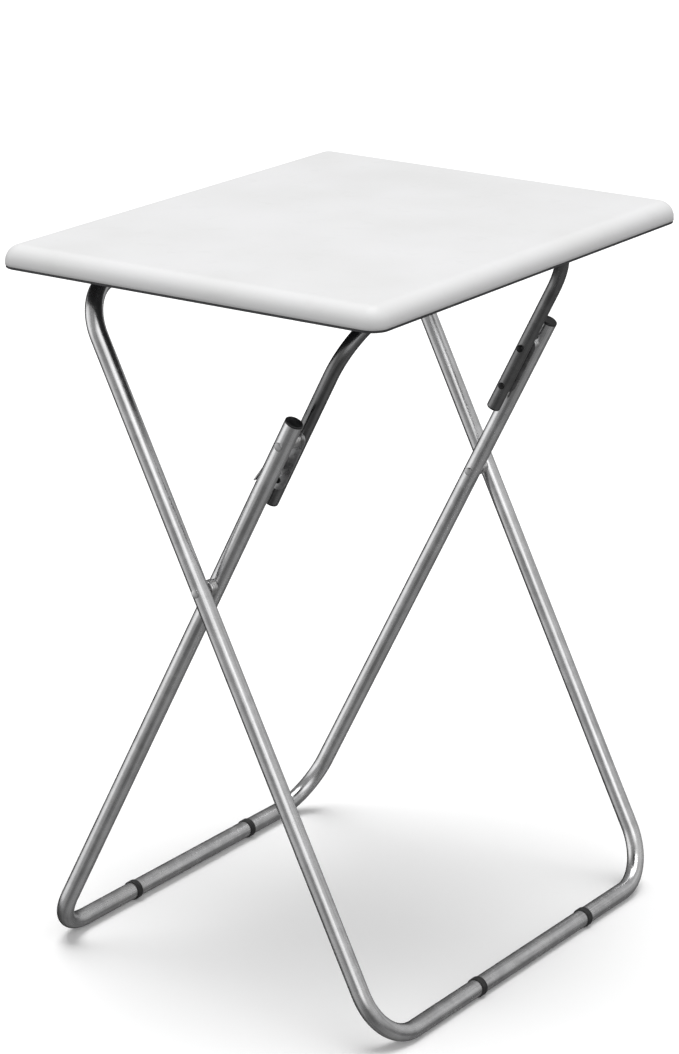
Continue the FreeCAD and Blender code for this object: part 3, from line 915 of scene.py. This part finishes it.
def cradle_outline():
    """Open below and outboard. Measured from the bar's centre."""
    top = UNDERSIDE_Z - LINK_BAR.z
    seat_r = LEG_R + CRADLE_GAP
    wall = seat_r + CRADLE_WALL
    seat = arc((0, 0), seat_r, CRADLE_LIPS[0], CRADLE_LIPS[1], 24)
    inner_z = seat[0][1]
    outer_z = seat[-1][1]
    outline = [(-FLANGE_HALF, top), (-FLANGE_HALF, top - FLANGE_THICK), (-wall, top - FLANGE_THICK)]
    outline += [(-wall, outer_z)] + list(reversed(seat)) + [(wall, inner_z)]
    outline += [(wall, top - FLANGE_THICK), (FLANGE_HALF, top - FLANGE_THICK), (FLANGE_HALF, top)]
    return outline


def saddle_outline():
    """A strap that wraps the bar, on two screwed flanges."""
    top = UNDERSIDE_Z - LINK_BAR.z
    strap_r = LINK_R + RUN_FIT + SADDLE_WALL
    outline = [(-FLANGE_HALF, top), (-FLANGE_HALF, top - FLANGE_THICK), (-strap_r, top - FLANGE_THICK)]
    outline += arc((0, 0), strap_r, 180, 360, 28)
    outline += [(strap_r, top - FLANGE_THICK), (FLANGE_HALF, top - FLANGE_THICK), (FLANGE_HALF, top)]
    return outline


def holders():
    """Two cradles for the outer frame's bar and two saddles for the link's, under the top."""
    bore = arc((0, 0), LINK_R + RUN_FIT, 0, 360, 40)[:-1]
    for end in ENDS:
        for node, name, outline, holes in (
            ("outer_bar_cradle_", "bar_cradle_", cradle_outline(), []),
            ("link_bar_saddle_", "bar_saddle_", saddle_outline(), [bore]),
        ):
            mesh = prism_mesh("holder", outline, holes, HOLDER_LENGTH)
            place = Matrix.Translation(holder_centre(node + end))
            piece = piece_for(node + end, name + end, mesh, place)
            bevel(piece, HOLDER_EDGE)


# ================= screws =================
SCREW_R = 1.75 * MM
SCREW_HEAD_R = 3.5 * MM
SCREW_HEAD_H = 2.2 * MM
SCREW_HEAD_LAND = 0.5 * MM
SCREW_DEPTH = 12 * MM
SCREW_TIP = 2 * MM
THREAD_PITCH = 1.4 * MM
THREAD_ROOT_R = SCREW_R * 0.72
RECESS_DEPTH = 1.3 * MM
RECESS_HALF_SLOT = 0.45 * MM
RECESS_REACH_TOP = 1.9 * MM
RECESS_REACH_LOW = 0.9 * MM


def screw_mesh():
    """A pan head with a cross recess, and a shank with thread ridges. The head's seat is at height 0."""
    profile = [(0, -SCREW_DEPTH)]
    for turn in range(int((SCREW_DEPTH - SCREW_TIP) / THREAD_PITCH)):
        z = -SCREW_DEPTH + SCREW_TIP + turn * THREAD_PITCH
        profile += [(THREAD_ROOT_R, z - THREAD_PITCH / 2), (SCREW_R, z)]
    profile += [(THREAD_ROOT_R, 0.0), (SCREW_HEAD_R, 0.0), (SCREW_HEAD_R, SCREW_HEAD_LAND)]
    for step in range(1, DOME_STEPS + 1):
        angle = math.pi / 2 * step / (DOME_STEPS + 1)
        up = (SCREW_HEAD_H - SCREW_HEAD_LAND) * math.sin(angle)
        profile.append((SCREW_HEAD_R * math.cos(angle) ** 0.8, SCREW_HEAD_LAND + up))
    profile.append((0, SCREW_HEAD_H))
    return combined(turned_mesh("screw", profile, HARDWARE_STEPS), recess_mesh(), "DIFFERENCE")


def recess_mesh():
    """The cross to cut out of a screw's head, narrower at its bottom."""
    levels = (
        (SCREW_HEAD_H - RECESS_DEPTH, RECESS_REACH_LOW),
        (SCREW_HEAD_H + 1 * MM, RECESS_REACH_TOP),
    )
    arms = []
    for quarter in range(4):
        angle = math.pi / 2 * quarter
        arms.append((arm_direction(angle), arm_direction(angle + math.pi / 2)))
    bm = bmesh.new()
    rings = []
    for z, reach in levels:
        points = []
        for along, across in arms:
            points.append(along * reach - across * RECESS_HALF_SLOT)
            points.append(along * reach + across * RECESS_HALF_SLOT)
            points.append((along + across) * RECESS_HALF_SLOT)
        rings.append(add_ring(bm, [(p.x, p.y, z) for p in points]))
    join_rings(bm, rings[0], rings[1])
    for ring in rings:
        bm.faces.new(ring)
    return mesh_from(bm, "cross")


def arm_direction(angle):
    """A unit step across the head."""
    return Vector((math.cos(angle), math.sin(angle), 0))


def screws():
    """Driven up through each flange. Each stopped at its own turn."""
    stops = random.Random(7)
    blank = screw_mesh()
    seat_z = UNDERSIDE_Z - FLANGE_THICK
    for node, holder in (("cradle_screws", "outer_bar_cradle_"), ("saddle_screws", "link_bar_saddle_")):
        placed = []
        for end in ENDS:
            centre = holder_centre(holder + end)
            for out in (-SCREW_OUT, SCREW_OUT):
                seat = Vector((centre.x + out, centre.y, seat_z))
                spin = Matrix.Rotation(stops.uniform(0, math.pi), 4, "Z")
                placed.append((blank, turn_to(-Z_AXIS, seat) @ spin))
        piece_for(node, node.replace("_screws", "_pan_screws"), joined_mesh(node, placed))


# ================= CAD nodes that stay as they are =================
def carried_over():
    """The board's core and the sleeve in the butt joint only get a material."""
    for node in ("tabletop_core", "outer_frame_splice"):
        item = frame["nodes"][node]
        item.data.materials.clear()
        item.data.materials.append(MATERIAL[SLOT_OF[node]])


# ================= studio =================
PHOTO_TALL = 1054           # pixels of the picture's long side
FOCAL_PIXELS = 3623.0
VIEW_AZIMUTH = math.radians(34.08)
VIEW_ELEVATION = math.radians(17.94)
VIEW_ROLL = math.radians(0.36)
VIEW_DISTANCE = 3.2553
VIEW_TARGET = Vector((-0.0131, 0, 0.3779))
SENSOR = 36.0
FLOOR_HALF = 14.0
BACKDROP_R = 13.5
BACKDROP_THICK = 0.1
BACKDROP_FOOT = -0.5
BACKDROP_TALL = 9.0
BACKDROP_STEPS = 96
KEY_TOWARDS = (0.06, -0.02, -1.0)
KEY_STRENGTH = 2.55
KEY_SPREAD_DEGREES = 50
STUDIO_BASE = 0.19
STUDIO_LOBES = (
    ((0.0, 0.0, 1.0), 0.9, 0.20),           # a broad light ceiling
    ((0.64, -0.68, 0.36), 0.14, 1.15),      # a window to the right of the camera
    ((0.86, -0.05, 0.45), 0.50, 0.45),      # a wide panel on the right
    ((0.35, 0.88, 0.25), 0.25, 0.35),       # a pale wall on the right, farther back
    ((-0.88, -0.47, 0.05), 0.22, 1.10),     # a narrow panel on the left
    ((-0.50, -0.72, -0.48), 0.14, 0.25),    # its faint reflection off the ground
    ((-0.15, -0.98, 0.10), 0.30, 0.18),     # a pale wall in front
    ((0.52, 0.05, -0.85), 0.20, 0.16),      # a light patch of ground on the right
    ((-0.80, 0.30, -0.50), 0.30, -0.12),    # a dark corner on the left, behind
    ((-0.53, 0.79, -0.31), 0.22, -0.15),    # a dark wall behind
)


def camera():
    """At the azimuth, elevation, roll and distance above, looking at the target."""
    data = bpy.data.cameras.new("camera")
    data.sensor_fit = "VERTICAL"
    data.sensor_height = SENSOR
    data.lens = FOCAL_PIXELS / PHOTO_TALL * SENSOR
    item = bpy.data.objects.new("camera", data)
    bpy.context.scene.collection.objects.link(item)
    flat = math.cos(VIEW_ELEVATION)
    back = Vector((math.sin(VIEW_AZIMUTH) * flat, -math.cos(VIEW_AZIMUTH) * flat, math.sin(VIEW_ELEVATION)))
    right = Z_AXIS.cross(back).normalized()
    up = back.cross(right)
    rolled_right = right * math.cos(VIEW_ROLL) + up * math.sin(VIEW_ROLL)
    rolled_up = up * math.cos(VIEW_ROLL) - right * math.sin(VIEW_ROLL)
    turn = Matrix((rolled_right, rolled_up, back)).transposed().to_4x4()
    item.matrix_world = Matrix.Translation(VIEW_TARGET + back * VIEW_DISTANCE) @ turn
    bpy.context.scene.camera = item


def sun(name, towards, strength, spread_degrees):
    """A distant soft light, shining along a direction."""
    data = bpy.data.lights.new(name, "SUN")
    data.energy = strength
    data.angle = math.radians(spread_degrees)
    item = bpy.data.objects.new(name, data)
    bpy.context.scene.collection.objects.link(item)
    item.matrix_world = Z_AXIS.rotation_difference(-Vector(towards).normalized()).to_matrix().to_4x4()


def floor():
    """Pale and plain. It catches the table's shadow, and no light comes back off it."""
    corners = [(x * FLOOR_HALF, y * FLOOR_HALF, 0) for x, y in ((-1, -1), (1, -1), (1, 1), (-1, 1))]
    bm = bmesh.new()
    bm.faces.new(add_ring(bm, corners))
    item = bpy.data.objects.new("floor", mesh_from(bm, "floor"))
    bpy.context.scene.collection.objects.link(item)
    shader = Shader("pale floor")
    shader.set(Base_Color=(0.97, 0.97, 0.97), Roughness=0.9, Specular_IOR_Level=0.1)
    item.data.materials.append(shader.material)
    item.visible_glossy = False
    item.visible_diffuse = False


def backdrop():
    """A white wall all round. Only the camera sees it, so the studio's light comes through it."""
    outer_r = BACKDROP_R + BACKDROP_THICK
    profile = [(BACKDROP_R, BACKDROP_FOOT), (outer_r, BACKDROP_FOOT)]
    profile += [(outer_r, BACKDROP_TALL), (BACKDROP_R, BACKDROP_TALL)]
    mesh = turned_mesh("backdrop", profile, BACKDROP_STEPS)
    item = bpy.data.objects.new("backdrop", mesh)
    bpy.context.scene.collection.objects.link(item)
    shader = Shader("white wall")
    shader.set(Base_Color=(0.0, 0.0, 0.0), Specular_IOR_Level=0.0)
    shader.set(Emission_Color=(1.0, 1.0, 1.0), Emission_Strength=1.0)
    shader.material.cycles.emission_sampling = "NONE"
    item.data.materials.append(shader.material)
    item.visible_diffuse = False
    item.visible_glossy = False
    item.visible_shadow = False


class Studio(Shader):
    """The world's own nodes, built up in the same way."""

    def __init__(self, name):
        self.world = bpy.data.worlds.new(name)
        self.world.use_nodes = True
        self.tree = self.world.node_tree
        self.tree.nodes.clear()

    def lobe(self, around, direction, width, strength):
        """Strongest in one direction, and smoothly down to nothing round it."""
        inputs = {0: around, 1: Vector(direction).normalized()}
        dot = self.add("VectorMath", inputs, operation="DOT_PRODUCT").outputs["Value"]
        inputs = {0: dot, 1: 1 - width, 2: 1.0, 3: 0.0, 4: strength}
        return self.add("MapRange", inputs, interpolation_type="SMOOTHSTEP").outputs[0]


def surroundings():
    """A studio with bright panels and dark walls, for the metal to reflect."""
    studio = Studio("studio")
    around = studio.add("TexCoord").outputs["Generated"]
    total = None
    for direction, width, strength in STUDIO_LOBES:
        part = studio.lobe(around, direction, width, strength)
        total = part if total is None else studio.math("ADD", total, part)
    total = studio.math("ADD", total, STUDIO_BASE)
    background = studio.add("Background", {"Color": total}).outputs[0]
    studio.add("OutputWorld", {"Surface": background})
    bpy.context.scene.world = studio.world


def lights():
    """One broad light from overhead, and a view transform that leaves the colours as they are."""
    sun("key", KEY_TOWARDS, KEY_STRENGTH, KEY_SPREAD_DEGREES)
    bpy.context.scene.view_settings.view_transform = "Standard"


table_top()
frame_tubes()
foot_rings()
plugs()
pivots()
rivet_caps()
stop_plates()
stop_rivets()
holders()
screws()
carried_over()
camera()
floor()
backdrop()
surroundings()
lights()
